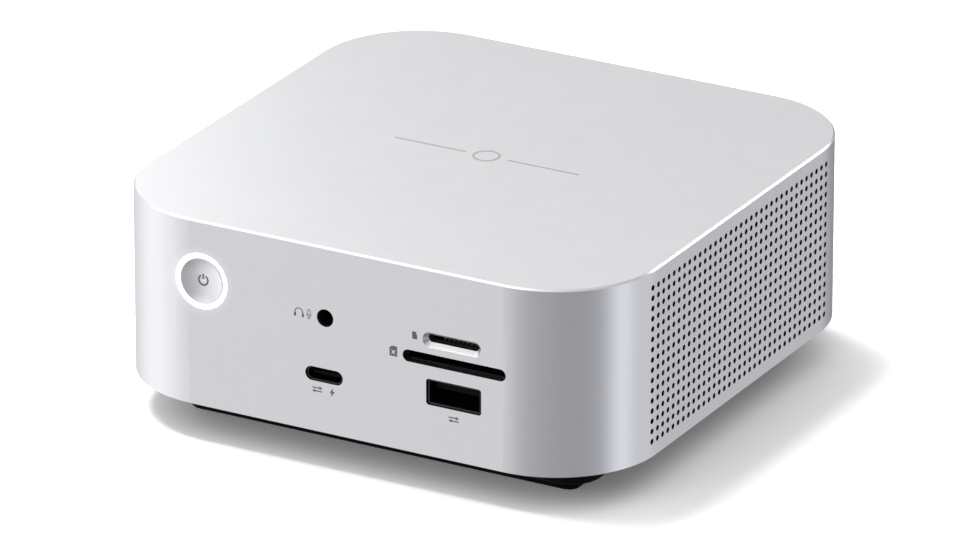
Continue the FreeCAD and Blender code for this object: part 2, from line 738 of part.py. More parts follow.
def make_leads():
    """The fan's lead, a tube that leaves the frame's side and bends down into its socket."""
    size = SIZES["fan_size"] / 2
    exit_point = Vector(size, SIZES["fan_shift"] + 18, SIZES["sink_top"] + 3)
    bend, reach, socket_top = 3.0, 2.6, SIZES["board_top"] + 3.4
    turn_start = exit_point + Vector(reach, 0, 0)
    turn_middle = turn_start + Vector(bend * math.sin(math.pi / 4), 0, -bend * (1 - math.cos(math.pi / 4)))
    turn_end = turn_start + Vector(bend, 0, -bend)
    low_end = Vector(turn_end.x, turn_end.y, socket_top)
    path = Part.Wire([
        Part.LineSegment(exit_point, turn_start).toShape(),
        Part.Arc(turn_start, turn_middle, turn_end).toShape(),
        Part.LineSegment(turn_end, low_end).toShape(),
    ])
    section = Part.Wire([Part.Circle(exit_point, Vector(1, 0, 0), 0.9).toShape()])
    lead = DOC.addObject("Part::Feature", "fan_lead")
    lead.Shape = path.makePipeShell([section], True, True)
    place(lead)
    node("fan_lead", lead)
    x = f"fan_size / 2 + {reach + bend}"
    node("fan_socket", box("fan_socket", x, "fan_shift + 18", "board_top", "5", "7", "3.4"))


# button


def make_button():
    """Drawn about the button's axis, +Z outwards, with the housing's front face at zero."""
    ring = new_body("light_ring")
    half = sketch(ring, "half", "front")
    inner, outer = "ring_bore / 2", "(ring_dia / 2 - 0.02)"
    draw_outline(half, [
        (inner, "-0.05"), (inner, "-(wall + 1.5)"), (f"{outer} + 1.5", "-(wall + 1.5)"),
        (f"{outer} + 1.5", "-(wall + 0.7)"), (outer, "-(wall + 0.7)"), (outer, "-0.05"),
    ])
    spin(ring, half)
    cap = new_body("power_button")
    half = sketch(cap, "half", "front")
    rim, flange = "cap_dia / 2", "(ring_bore / 2 + 0.7)"
    draw_outline(half, [
        ("0", "-5"), ("2", "-5"), ("2", "-4.5"), (flange, "-4.5"),
        (flange, "-(wall + 1.6)"), (rim, "-(wall + 1.6)"),
        (rim, "-0.2"), (f"({rim} - 0.15)", "-0.05"), ("0", "-0.05"),
    ])
    spin(cap, half)
    dish = cap.newObject("PartDesign::SubtractiveSphere", "dish")
    dish.AttachmentSupport = (origin_feature(cap, "XY_Plane"), [""])
    dish.MapMode = "FlatFace"
    dish.setExpression("Radius", sized("dish_radius"))
    dish.setExpression("AttachmentOffset.Base.z", sized("dish_radius - dish_depth - 0.05"))
    board = new_body("button_board")
    block(board, "plate", 0, 0, "-9.6", "17", "20", "1.2", "1.5")
    switch = new_body("tactile_switch")
    block(switch, "body", 0, 0, "-8.4", "6.2", "6.2", "2.4", "0.4")
    well = sketch(switch, "well", "top", z="-6")
    draw_discs(well, "3")
    pocket(switch, well, "travel + 1.15")
    tip = new_body("switch_plunger")
    stem = sketch(tip, "stem", "top", z="-5")
    draw_discs(stem, "2.6")
    pad(tip, stem, "1.8", back=True)
    pieces = []
    for i in range(8):
        angle = f"{45 * i}"
        pieces.append(box(f"ring_lamp_{i}", f"button_left + 6.9 * cos({angle})", "-width / 2 + 7.95",
                          f"button_high + 6.9 * sin({angle}) - 0.5", "1.6", "0.9", "1"))
    node("ring_lamps", group("ring_lamps", pieces))
    for piece in (ring, cap, board, switch, tip):
        place(piece, "button_left", "-width / 2", "button_high", 90, Vector(1, 0, 0))


def make_ribbon():
    """The flat ribbon runs down from the button board and back along the main board to its socket."""
    y_board = "(-width / 2 + 9.6)"
    thick, bend = "0.2", "2.5"
    x, half = "button_left", "3"
    z_low = "board_top + 1"
    z_bend, drop = f"{z_low} + {bend}", f"button_high - 7 - {z_low} - {bend}"
    down = box("ribbon_down", x, f"{y_board} + 0.3", z_bend, "6", thick, drop)
    back_start = f"{y_board} + 0.2 + {bend}"
    along = box("ribbon_along", x, f"{back_start} + 2.5", z_low, "6", "5", thick)
    discs = []
    for name, radius in (("outer", bend), ("inner", f"({bend} - {thick})")):
        where = (f"{x} - {half}", back_start, z_bend)
        discs.append(rod("ribbon_" + name, *where, f"2 * {radius}", "6", 90, Vector(0, 1, 0)))
    quarter = box("ribbon_quarter", x, f"{back_start} - {bend} / 2", z_low, "6", bend, bend)
    arc = DOC.addObject("Part::Common", "ribbon_arc")
    arc.Base = less("ribbon_arc_full", *discs)
    arc.Tool = quarter
    node("button_ribbon", joined("button_ribbon", down, arc, along))
    body = box("ribbon_socket_body", x, f"{back_start} + 6.4", "board_top", "8.6", "4.8", "2")
    mouth = box("ribbon_socket_mouth", x, f"{back_start} + 4", "board_top + 0.9", "6.3", "2.4", "0.5")
    node("ribbon_socket", less("ribbon_socket", body, mouth))


# ports, each drawn facing -Y with its mouth at y = 0 and placed in its wall


def make_usb_c(label, x, face, turn):
    shell = new_body(label)
    outer = sketch(shell, "outer", "front")
    draw_slot(outer, "usb_c_wide", "usb_c_tall")
    pad(shell, outer, "7.4", back=True)
    inner = sketch(shell, "inner", "front")
    draw_slot(inner, "usb_c_wide - 0.6", "usb_c_tall - 0.6")
    pocket(shell, inner, "6.6")
    place(shell, x, face, "board_top + usb_c_tall / 2", turn)
    return shell


def usb_c_tongue(name, x, inward, face):
    """The blade with its contacts, on the receptacle's back wall."""
    y = f"{face} + {inward} * 3.75"
    return box(name + "_blade", x, y, "board_top + usb_c_tall / 2 - 0.35", "6.69", "5.7", "0.7")


def make_usb_a(label, x, z, face, turn):
    shell = new_body(label)
    outer = sketch(shell, "outer", "front")
    draw_rounded(outer, "usb_a_wide", "usb_a_tall", "0.6")
    pad(shell, outer, "14", back=True)
    inner = sketch(shell, "inner", "front")
    draw_rounded(inner, "usb_a_wide - 0.7", "usb_a_tall - 0.7", "0.3")
    pocket(shell, inner, "13")
    place(shell, x, face, z, turn)
    return shell


def usb_a_tongue(name, x, z, inward, face):
    y = f"{face} + {inward} * 7.4"
    return box(name, x, y, f"{z} + 0.35", "11.1", "11.2", "1.84")


def make_front_ports():
    face = "-width / 2 + 0.45"
    make_usb_c("front_usb_c_shell", "usb_c_left", face, 0)
    node("front_usb_c_tongue", usb_c_tongue("front_usb_c", "usb_c_left", 1, face))
    make_usb_a("front_usb_a_shell", "usb_a_left", "usb_a_high", face, 0)
    blade = usb_a_tongue("front_usb_a_tongue", "usb_a_left", "usb_a_high", 1, face)
    node("front_usb_a_tongue", blade)

    face = "-width / 2 + wall + 0.1"
    sd = new_body("sd_reader")
    tall = "card_board_top - board_thick - sd_high + 1.6"
    body = sketch(sd, "body", "front", 0, 0, f"({tall}) / 2 - 1.6")
    draw_rounded(body, "28", tall, "0.4")
    pad(sd, body, "27", back=True)
    mouth = sketch(sd, "mouth", "front")
    draw_outline(mouth, rectangle("24.4", "2.4"))
    pocket(sd, mouth, "25")
    place(sd, "card_left", face, "sd_high")
    pins = []
    for i in range(9):
        x = f"card_left - 10 + 2.5 * {i}"
        pins.append(box(f"sd_contact_{i}", x, "-width / 2 + 20", "sd_high + 0.85", "1", "9", "0.35"))
    node("sd_contacts", group("sd_contacts", pins))

    micro = new_body("microsd_reader")
    body = sketch(micro, "body", "front", 0, 0, "(card_board_top - microsd_high + 1.3) / 2")
    draw_rounded(body, "14.4", "microsd_high - card_board_top + 1.3", "0.3")
    pad(micro, body, "15", back=True)
    mouth = sketch(micro, "mouth", "front")
    draw_outline(mouth, rectangle("11.4", "1.5"))
    pocket(micro, mouth, "13.6")
    place(micro, "microsd_left", face, "microsd_high")
    pins = []
    low = "microsd_high - 0.75"
    for i in range(8):
        x = f"microsd_left - 3.85 + 1.1 * {i}"
        pins.append(box(f"microsd_contact_{i}", x, "-width / 2 + 7", low, "0.6", "6", "0.25"))
    node("microsd_contacts", group("microsd_contacts", pins))
    place_x, place_y = "microsd_left + 4.3", "-width / 2 + 11.6"
    slider = box("microsd_slider", place_x, place_y, "microsd_high - 0.4", "1.8", "4", "0.9")
    node("microsd_slider", slider)

    jack = new_body("audio_jack")
    body = sketch(jack, "body", "front", z="(33 + 38) / 2 - jack_high", y="2.4")
    draw_rounded(body, "6.4", "5", "0.4")
    pad(jack, body, "11.6", back=True)
    nose = sketch(jack, "nose", "front", y="0.4")
    draw_discs(nose, "jack_hole - 0.1")
    pad(jack, nose, "2.4", back=True)
    bore = sketch(jack, "bore", "front")
    draw_discs(bore, "jack_bore")
    pocket(jack, bore, "12.5")
    place(jack, "jack_left", "-width / 2", "jack_high")


def make_rear_ports():
    face = "width / 2 - 0.45"
    tongues = []
    for i in range(3):
        x = f"rear_usb_c_first + {i} * rear_usb_c_pitch"
        make_usb_c(f"rear_usb_c_shell_{'abc'[i]}", x, face, 180)
        tongues.append(usb_c_tongue(f"rear_usb_c_{i}", x, -1, face))
    node("rear_usb_c_tongues", group("rear_usb_c_tongues", tongues))
    blades = []
    for i, level in enumerate(("lower", "upper")):
        z = f"usb_a_high + {i} * rear_usb_a_pitch"
        make_usb_a(f"rear_usb_a_shell_{level}", "rear_usb_a_left", z, face, 180)
        blades.append(usb_a_tongue(f"rear_usb_a_tongue_{i}", "rear_usb_a_left", z, -1, face))
    node("rear_usb_a_tongues", group("rear_usb_a_tongues", blades))

    jack = new_body("network_jack")
    body = sketch(jack, "body", "front")
    draw_rounded(body, "network_wide", "network_tall", "0.3")
    pad(jack, body, "network_deep", back=True)
    way = sketch(jack, "way", "front", z="-0.6")
    draw_outline(way, rectangle("11.9", "7"))
    pocket(jack, way, "14")
    latch = sketch(jack, "latch", "front", z="3.6")
    draw_outline(latch, rectangle("6.2", "2.2"))
    pocket(jack, latch, "14")
    step = sketch(jack, "latch_step", "front", z="5")
    draw_outline(step, rectangle("3.4", "1.4"))
    pocket(jack, step, "14")
    place(jack, "network_left", "width / 2 - 0.1", "board_top + network_tall / 2", 180)
    pins = []
    low = "board_top + network_tall / 2 - 4.1"
    for i in range(8):
        x = f"network_left - 3.57 + 1.02 * {i}"
        pins.append(box(f"network_contact_{i}", x, "width / 2 - 8.5", low, "0.5", "8", "0.4"))
    node("network_contacts", group("network_contacts", pins))

    inlet = new_body("dc_inlet")
    body = sketch(inlet, "body", "front", y="2.4")
    draw_rounded(body, "11", "(inlet_high - board_top) * 2", "1")
    pad(inlet, body, "12", back=True)
    nose = sketch(inlet, "nose", "front", y="0.2")
    draw_discs(nose, "inlet_dia")
    pad(inlet, nose, "2.6", back=True)
    bore = sketch(inlet, "bore", "front")
    draw_discs(bore, "inlet_bore")
    pocket(inlet, bore, "11")
    place(inlet, "inlet_left", "width / 2", "inlet_high", 180)
    node("dc_pin", rod("dc_pin", "inlet_left", "width / 2 - 11", "inlet_high", "2.5", "9.5", -90))


def check_all():
    """Nothing is written unless every object is sound."""
    DOC.recompute()
    for thing in DOC.Objects:
        if "Invalid" in thing.State or "Error" in thing.State:
            raise RuntimeError(f"{thing.Name} is {thing.State}")
    for thing in NODES:
        if thing.Shape.isNull() or not thing.Shape.isValid():
            raise RuntimeError(f"{thing.Label} has no valid shape")


def write_all():
    os.makedirs("parts", exist_ok=True)
    for thing in NODES:
        thing.Shape.exportStep(f"parts/{thing.Label}.step")
        edge = thing.Shape.BoundBox
        low = f"{edge.XMin:.1f} {edge.YMin:.1f} {edge.ZMin:.1f}"
        high = f"{edge.XMax:.1f} {edge.YMax:.1f} {edge.ZMax:.1f}"
        count, volume = len(thing.Shape.Solids), thing.Shape.Volume
        print(f"{thing.Label}: {count} solid, {volume:.1f} mm3, {low} to {high}")


fill_sheet()
make_base()
make_storage_bay()
make_boards()
make_components()
make_heatsink()
make_fan()
make_leads()
make_button()
make_ribbon()
make_front_ports()
make_rear_ports()
make_shell()
check_all()
write_all()
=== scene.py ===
import json
import math

import bmesh
import bpy
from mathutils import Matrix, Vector


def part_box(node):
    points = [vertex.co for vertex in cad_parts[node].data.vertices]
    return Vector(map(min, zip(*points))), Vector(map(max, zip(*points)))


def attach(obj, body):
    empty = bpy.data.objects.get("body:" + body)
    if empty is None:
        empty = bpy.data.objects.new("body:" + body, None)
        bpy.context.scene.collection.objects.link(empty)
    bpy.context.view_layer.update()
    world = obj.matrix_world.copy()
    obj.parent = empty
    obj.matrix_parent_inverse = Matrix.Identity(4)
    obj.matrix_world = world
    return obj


# Laptop docking station: finishes, printed marks, contacts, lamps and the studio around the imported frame.
# Positions are in millimetres in the shared frame until they become mesh vertices, in metres.

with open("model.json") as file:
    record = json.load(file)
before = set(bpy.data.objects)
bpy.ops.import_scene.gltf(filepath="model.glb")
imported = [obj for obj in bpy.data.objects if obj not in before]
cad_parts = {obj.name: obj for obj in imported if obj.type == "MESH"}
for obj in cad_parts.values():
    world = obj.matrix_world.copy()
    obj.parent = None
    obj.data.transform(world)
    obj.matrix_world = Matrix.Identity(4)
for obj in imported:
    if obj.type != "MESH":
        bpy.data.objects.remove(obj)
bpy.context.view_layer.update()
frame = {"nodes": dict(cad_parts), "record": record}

MM = 0.001
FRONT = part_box("shell")[0].y / MM
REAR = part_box("shell")[1].y / MM
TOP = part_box("shell")[1].z / MM
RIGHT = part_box("shell")[1].x / MM
SLOT_OF = {part["node"]: part["material_slot"] for part in frame["record"]["subparts"]}


def middle(node):
    low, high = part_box(node)
    return (low + high) / 2 / MM


BUTTON = middle("light_ring")
JACK = middle("audio_jack")
USB_C = middle("front_usb_c_shell")
USB_A = middle("front_usb_a_shell")
SD = middle("sd_reader")
MICRO = middle("microsd_reader")
# the cap's dish is part of a sphere, and this deep in its middle behind the front face
DISH_RADIUS, DISH_DEPTH = 16.0, 0.91


# the camera, in degrees, millimetres from the frame's origin, and metres back from that target

CAMERA_AZIMUTH, CAMERA_ELEVATION = 28.947, 22.447
CAMERA_TARGET = (8.948, -19.122, 33.507)
CAMERA_DISTANCE_M = 2.1851
SENSOR_WIDTH, LENS = 36, 373.02


def facing(azimuth, elevation):
    """The direction from the object to a viewer. Azimuth 0 is the front and 90 the right side, in degrees."""
    a, e = math.radians(azimuth), math.radians(elevation)
    return Vector((math.sin(a) * math.cos(e), -math.cos(a) * math.cos(e), math.sin(e)))


def make_camera():
    data = bpy.data.cameras.new("camera")
    data.sensor_width = SENSOR_WIDTH
    data.lens = LENS
    data.clip_start, data.clip_end = 0.05, 40
    camera = bpy.data.objects.new("camera", data)
    bpy.context.scene.collection.objects.link(camera)
    back = facing(CAMERA_AZIMUTH, CAMERA_ELEVATION)
    camera.location = Vector(CAMERA_TARGET) * MM + back * CAMERA_DISTANCE_M
    camera.rotation_mode = "QUATERNION"
    camera.rotation_quaternion = (-back).to_track_quat("-Z", "Y")
    bpy.context.scene.camera = camera


# finishes


def add_node(tree, kind, links=(), **settings):
    """A node whose inputs are linked to the sockets, and set to the values, in links."""
    made = tree.nodes.new(kind)
    for key, value in settings.items():
        setattr(made, key, value)
    for key, source in dict(links).items():
        if isinstance(source, bpy.types.NodeSocket):
            tree.links.new(source, made.inputs[key])
        else:
            made.inputs[key].default_value = source
    return made


class Finish:
    """A Principled material, with the nodes that drive its colour, roughness and bump."""

    def __init__(self, name):
        self.material = bpy.data.materials.new(name)
        self.material.use_nodes = True
        self.tree = self.material.node_tree
        self.shader = next(n for n in self.tree.nodes if n.type == "BSDF_PRINCIPLED")
        self.place = self.add("ShaderNodeTexCoord").outputs["Object"]

    def add(self, kind, links=(), **settings):
        return add_node(self.tree, kind, links, **settings)

    def math(self, operation, first, second=0.0):
        return self.add("ShaderNodeMath", {0: first, 1: second}, operation=operation).outputs[0]

    def link(self, source, key):
        self.tree.links.new(source, self.shader.inputs[key])

    def put(self, **values):
        for key, value in values.items():
            self.shader.inputs[key.replace("_", " ")].default_value = value

    def stretched(self, factors):
        return self.add("ShaderNodeMapping", {"Vector": self.place, "Scale": factors}).outputs["Vector"]

    def noise(self, size, detail=2.0, place=None):
        """Noise with lumps of about size, in millimetres."""
        links = {"Vector": place or self.place, "Scale": 1 / (size * MM), "Detail": detail}
        return self.add("ShaderNodeTexNoise", links).outputs["Fac"]

    def scaled(self, source, low, high, start=0.35, end=0.65):
        links = {"Value": source, "From Min": start, "From Max": end, "To Min": low, "To Max": high}
        return self.add("ShaderNodeMapRange", links).outputs["Result"]

    def total(self, operation, *sources):
        """All the sources added or multiplied together."""
        result = sources[0]
        for source in sources[1:]:
            result = self.math(operation, result, source)
        return result

    def blend(self, amount, first, second):
        """A colour from first to second as amount goes from 0 to 1."""
        made = self.add("ShaderNodeMix", {0: amount}, data_type="RGBA")
        for socket, colour in ((made.inputs[6], first), (made.inputs[7], second)):
            if isinstance(colour, bpy.types.NodeSocket):
                self.tree.links.new(colour, socket)
            else:
                socket.default_value = (*colour, 1)
        return made.outputs[2]

    def bump(self, height, depth):
        """Bump whose height of 1 stands depth millimetres proud."""
        links = {"Height": height, "Distance": depth * MM, "Strength": 1.0}
        return self.add("ShaderNodeBump", links).outputs["Normal"]


def shade(colour, factor):
    return [min(1.0, c * factor) for c in colour]


def common(
    name, colour, rough, metal=0.0, cloud=6.0, spread=0.05, vary=0.08, grain=0.2, depth=0.01, stretch=None,
):
    """A finish with drifting tone and roughness and a fine grain. Sizes are in millimetres."""
    made = Finish(name)
    place = made.stretched(stretch) if stretch else made.place
    drift = made.noise(cloud, 3.0, place)
    fine = made.noise(grain, 3.0, place)
    tone = made.scaled(made.total("ADD", drift, fine), 0.0, 1.0, 0.75, 1.25)
    made.link(made.blend(tone, shade(colour, 1 - vary), shade(colour, 1 + vary)), "Base Color")
    made.link(made.scaled(drift, rough - spread, rough + spread), "Roughness")
    made.link(made.bump(fine, depth), "Normal")
    made.put(Metallic=metal)
    return made


def matt(name, colour, rough, grain, depth=0.01):
    """A dull black plastic or rubber that shows next to no highlight."""
    made = common(name, colour, rough, grain=grain, depth=depth)
    made.put(Specular_IOR_Level=0.06)
    return made


# where shade is painted dark into the grille's holes: from this far out, up to this much bare metal at their
# mouths, this far to the front and back of the middle, and this far below the top
GRILLE_BACK, GRILLE_SKIN, GRILLE_REACH, GRILLE_DROP = 56, 0.35, 42.3, 2.5
HOLE_SHADE_COLOUR = (0.03, 0.03, 0.032, 1)
# the ring's light painted on the front face as emission, strongest up to the first radius and gone at the
# second
GLOW_START, GLOW_END, PAINTED_GLOW = 6.6, 8.6, 0.06


def housing_finish():
    """Bead-blasted, anodised aluminium, with shade painted dark into the grille's holes and the ring's light
    painted round the button as emission.
    """
    made = common(
        "anodised_aluminium", (0.66, 0.665, 0.68), 0.31, 1.0,
        cloud=5.0, spread=0.004, vary=0.008, grain=0.12, depth=0.0022,
    )
    axes = made.add("ShaderNodeSeparateXYZ", {0: made.place}).outputs
    side, along = made.math("ABSOLUTE", axes["X"]), made.math("ABSOLUTE", axes["Y"])
    # painted shade: the walls of the grille's holes are coloured near black to stand for the shade inside them
    hole_shade_mask = made.total(
        "MULTIPLY",
        made.math("GREATER_THAN", side, GRILLE_BACK * MM),
        made.math("LESS_THAN", side, (RIGHT - GRILLE_SKIN) * MM),
        made.math("LESS_THAN", along, GRILLE_REACH * MM),
        made.math("LESS_THAN", axes["Z"], (TOP - GRILLE_DROP) * MM),
    )
    tone = made.shader.inputs["Base Color"].links[0].from_socket
    with_hole_shade = made.add("ShaderNodeMix", {0: hole_shade_mask, 6: tone, 7: HOLE_SHADE_COLOUR}, data_type="RGBA").outputs[2]
    made.link(with_hole_shade, "Base Color")
    # painted light: the housing itself glows round the button, standing for the ring's light falling on the
    # front face
    from_button = {0: made.place, 1: BUTTON * MM}
    offset = made.add("ShaderNodeVectorMath", from_button, operation="SUBTRACT").outputs[0]
    flat = made.add("ShaderNodeVectorMath", {0: offset, 1: (1, 0, 1)}, operation="MULTIPLY").outputs[0]
    away = made.add("ShaderNodeVectorMath", {0: flat}, operation="LENGTH").outputs["Value"]
    fall = {"Value": away, "From Min": GLOW_START * MM, "From Max": GLOW_END * MM}
    fall |= {"To Min": PAINTED_GLOW, "To Max": 0.0}
    painted_glow = made.add("ShaderNodeMapRange", fall, interpolation_type="SMOOTHSTEP").outputs["Result"]
    depth = made.add("ShaderNodeSeparateXYZ", {0: offset}).outputs["Y"]
    made.link(made.math("MULTIPLY", painted_glow, made.math("LESS_THAN", depth)), "Emission Strength")
    made.put(Emission_Color=(0.93, 0.96, 1.0, 1))
    return made


def ring_finish():
    """A frosted light guide, lit from behind by eight lamps."""
    made = common(
        "light_guide", (0.93, 0.95, 0.97), 0.45,
        cloud=3.0, spread=0.04, vary=0.01, grain=0.3, depth=0.004,
    )
    lit = made.scaled(made.noise(5.0), 1.1, 1.2)
    made.link(lit, "Emission Strength")
    made.put(Emission_Color=(0.97, 0.985, 1.0, 1))
    return made


def board_finish():
    """Black solder mask over copper tracks, with small tinned pads."""
    made = Finish("solder_mask")
    brick = {"Vector": made.place, "Scale": 180.0, "Mortar Size": 0.02, "Mortar Smooth": 0.2}
    tracks = made.add("ShaderNodeTexBrick", brick).outputs["Fac"]
    dots = made.add("ShaderNodeTexVoronoi", {"Vector": made.place, "Scale": 420.0}).outputs["Distance"]
    pad = made.scaled(dots, 1.0, 0.0, 0.10, 0.14)
    ink = made.blend(tracks, (0.006, 0.020, 0.016), (0.012, 0.045, 0.034))
    made.link(made.blend(pad, ink, (0.62, 0.60, 0.55)), "Base Color")
    made.link(made.scaled(pad, 0.38, 0.25, 0.0, 1.0), "Roughness")
    made.link(pad, "Metallic")
    made.link(made.bump(made.total("ADD", tracks, pad), 0.02), "Normal")
    return made


def glowing(name, colour, strength):
    made = common(name, colour, 0.3, cloud=1.0, spread=0.05, vary=0.03, grain=0.2, depth=0.004)
    made.put(Emission_Color=(*colour, 1), Emission_Strength=strength)
    return made


# how much shorter the grain is across the drawing or milling direction, along x, y and z
STEEL_STRETCH = (1.0, 9.0, 9.0)
DEPTH_STRETCH = (9.0, 1.0, 9.0)
FINISHES = {
    "housing": housing_finish(),
    "base_plastic": matt("base_plastic", (0.003, 0.003, 0.0032), 0.72, grain=0.25, depth=0.02),
    "foot_rubber": matt("foot_rubber", (0.003, 0.003, 0.0032), 0.80, grain=0.5, depth=0.05),
    "screw_steel": common("screw_steel", (0.42, 0.42, 0.43), 0.33, 1.0, grain=0.15, stretch=STEEL_STRETCH),
    "door_metal": common("door_paint", (0.022, 0.022, 0.024), 0.48, grain=0.35, depth=0.03),
    "pad_grey": common("thermal_pad", (0.42, 0.45, 0.50), 0.75, grain=0.6, depth=0.03),
    "black_plastic": matt("moulded_plastic", (0.002, 0.002, 0.0022), 0.60, grain=0.2),
    "brass": common("brass", (0.76, 0.58, 0.28), 0.30, 1.0, grain=0.2, stretch=(9.0, 9.0, 1.0)),
    "circuit_board": board_finish(),
    "chip_black": common("chip_black", (0.02, 0.02, 0.021), 0.50, grain=0.15),
    "coil_grey": common("coil_grey", (0.12, 0.12, 0.125), 0.62, grain=0.3, depth=0.02),
    "can_metal": common("can_metal", (0.74, 0.74, 0.75), 0.32, 1.0, grain=0.3),
    "sink_metal": common("sink_metal", (0.66, 0.67, 0.68), 0.38, 1.0, grain=0.3, stretch=DEPTH_STRETCH),
    "lead_black": common("lead_black", (0.02, 0.02, 0.02), 0.55, grain=0.3),
    "ivory_plastic": common("ivory_plastic", (0.78, 0.75, 0.66), 0.45, grain=0.2),
    "light_guide": ring_finish(),
    "button_metal": common(
        "button_metal", (0.66, 0.665, 0.68), 0.22, 1.0,
        cloud=3.0, spread=0.01, vary=0.012, grain=0.12, depth=0.0022,
    ),
    "lamp_white": glowing("lamp_white", (0.95, 0.96, 0.90), 2.0),
    "ribbon_white": common("ribbon_white", (0.78, 0.78, 0.76), 0.50, grain=0.4),
    "port_steel": common("port_steel", (0.045, 0.045, 0.048), 0.38, 1.0, grain=0.2, stretch=DEPTH_STRETCH),
    "reader_steel": common("reader_steel", (0.022, 0.022, 0.023), 0.45, 1.0, grain=0.2, stretch=DEPTH_STRETCH),
    "gold": common("gold", (0.90, 0.64, 0.24), 0.22, 1.0, grain=0.2),
    "jack_black": matt("jack_black", (0.006, 0.006, 0.0065), 0.50, grain=0.2),
    "network_black": common("network_black", (0.014, 0.014, 0.015), 0.46, grain=0.2),
}
INK = common(
    "grey_ink", (0.085, 0.085, 0.09), 0.55,
    cloud=1.0, spread=0.05, vary=0.10, grain=0.08, depth=0.004,
)
INK.put(Specular_IOR_Level=0.15)
ETCHED = common(
    "etched_mark", (0.19, 0.19, 0.195), 0.52, 0.2,
    cloud=2.0, spread=0.04, vary=0.06, grain=0.08, depth=0.004,
)
AMBER = glowing("amber_lamp", (0.85, 0.42, 0.05), 0.12)
GREEN = glowing("green_lamp", (0.10, 0.70, 0.18), 0.12)


def dress(obj, made):
    obj.data.materials.clear()
    obj.data.materials.append(made.material)


def dress_frame():
    """Every CAD node gets the finish of its material slot."""
    for name, obj in frame["nodes"].items():
        dress(obj, FINISHES[SLOT_OF[name]])


# pieces


def piece(name, bm, made, body="housing"):
    bmesh.ops.recalc_face_normals(bm, faces=bm.faces)
    mesh = bpy.data.meshes.new(name)
    bm.to_mesh(mesh)
    bm.free()
    obj = bpy.data.objects.new(name, mesh)
    bpy.context.scene.collection.objects.link(obj)
    dress(obj, made)
    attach(obj, body)


def on_front(u, v, out):
    return Vector((u, FRONT - out, v)) * MM


def on_rear(u, v, out):
    return Vector((u, REAR + out, v)) * MM


def on_top(u, v, out):
    return Vector((u, v, TOP + out)) * MM


def on_cap(u, v, out):
    """The dished face of the button's cap, part of a sphere."""
    away = math.hypot(u - BUTTON.x, v - BUTTON.z)
    sag = DISH_RADIUS - math.sqrt(DISH_RADIUS ** 2 - away ** 2)
    return Vector((u, FRONT + DISH_DEPTH - sag - out, v)) * MM


# how far a printed mark stands proud of its face, and how far it reaches into it
MARK_PROUD, MARK_SUNK = 0.02, 0.01


def prism(bm, outline, face):
    """A thin plate over an outline on one of the object's faces."""
    tops = [bm.verts.new(face(u, v, MARK_PROUD)) for u, v in outline]
    lows = [bm.verts.new(face(u, v, -MARK_SUNK)) for u, v in outline]
    bm.faces.new(tops)
    bm.faces.new(lows[::-1])
    for i in range(len(outline)):
        j = (i + 1) % len(outline)
        bm.faces.new((tops[i], tops[j], lows[j], lows[i]))


def stroke(points, width):
    """The outline of an open line of that width through points."""
    count = len(points)
    left, right = [], []
    for i, (u, v) in enumerate(points):
        a, b = points[max(i - 1, 0)], points[min(i + 1, count - 1)]
        du, dv = b[0] - a[0], b[1] - a[1]
        long = math.hypot(du, dv)
        nu, nv = -dv / long * width / 2, du / long * width / 2
        left.append((u + nu, v + nv))
        right.append((u - nu, v - nv))
    return left + right[::-1]


def arc(u, v, radius, start, end, steps=20):
    """Points along an arc about (u, v). Angles are in degrees, anticlockwise from +u."""
    angles = [math.radians(start + (end - start) * i / steps) for i in range(steps + 1)]
    return [(u + radius * math.cos(a), v + radius * math.sin(a)) for a in angles]


def bar(u, v, wide, tall):
    a, b = wide / 2, tall / 2
    return [(u - a, v - b), (u + a, v - b), (u + a, v + b), (u - a, v + b)]


def pill(u, v, wide, tall, steps=8):
    """An outline with full round ends along its longer side."""
    if wide >= tall:
        r, reach = tall / 2, wide / 2 - tall / 2
        return arc(u + reach, v, r, -90, 90, steps) + arc(u - reach, v, r, 90, 270, steps)
    r, reach = wide / 2, tall / 2 - wide / 2
    return arc(u, v + reach, r, 0, 180, steps) + arc(u, v - reach, r, 180, 360, steps)


def ring(bm, u, v, radius, width, face):
    """A closed thin ring, as two half rings that meet."""
    for start in (0, 180):
        prism(bm, stroke(arc(u, v, radius, start, start + 180, 32), width), face)


def printed(name, outlines, face, made, body="housing"):
    bm = bmesh.new()
    for outline in outlines:
        prism(bm, outline, face)
    piece(name, bm, made, body)


def headphone_mark(u, v):
    band = stroke(arc(u, v - 0.05, 0.98, 12, 168, 24), 0.21)
    cups = [pill(u + side * 0.98, v - 0.62, 0.52, 1.0) for side in (-1, 1)]
    hangers = [bar(u + side * 0.98, v, 0.21, 0.5) for side in (-1, 1)]
    return [band, *cups, *hangers]


def microphone_mark(u, v):
    capsule = [
        stroke(arc(u, v + 0.75, 0.32, 0, 180, 12), 0.16),
        stroke(arc(u, v + 0.05, 0.32, 180, 360, 12), 0.16),
        bar(u - 0.32, v + 0.4, 0.16, 0.7),
        bar(u + 0.32, v + 0.4, 0.16, 0.7),
    ]
    cradle = stroke(arc(u, v + 0.02, 0.62, 180, 360, 16), 0.16)
    return [*capsule, cradle, bar(u, v - 0.78, 0.16, 0.36), bar(u, v - 1.0, 0.7, 0.16)]


def micro_card_mark(u, v):
    """A small solid card with a notched side."""
    return [[
        (u - 0.62, v - 0.86), (u + 0.62, v - 0.86), (u + 0.62, v + 0.16), (u + 0.42, v + 0.32),
        (u + 0.42, v + 0.86), (u - 0.62, v + 0.86),
    ]]


def card_mark(u, v):
    """A solid card with a cut corner and a round window."""
    window = [
        bar(u, v - 0.98, 1.9, 0.4), bar(u - 0.74, v - 0.22, 0.42, 1.12), bar(u + 0.74, v - 0.22, 0.42, 1.12),
        stroke(arc(u, v - 0.22, 0.47, 0, 180, 16), 0.2), stroke(arc(u, v - 0.22, 0.47, 180, 360, 16), 0.2),
    ]
    head = [
        (u - 0.95, v + 0.34), (u + 0.95, v + 0.34), (u + 0.95, v + 1.2),
        (u - 0.38, v + 1.2), (u - 0.95, v + 0.7),
    ]
    return [*window, head]


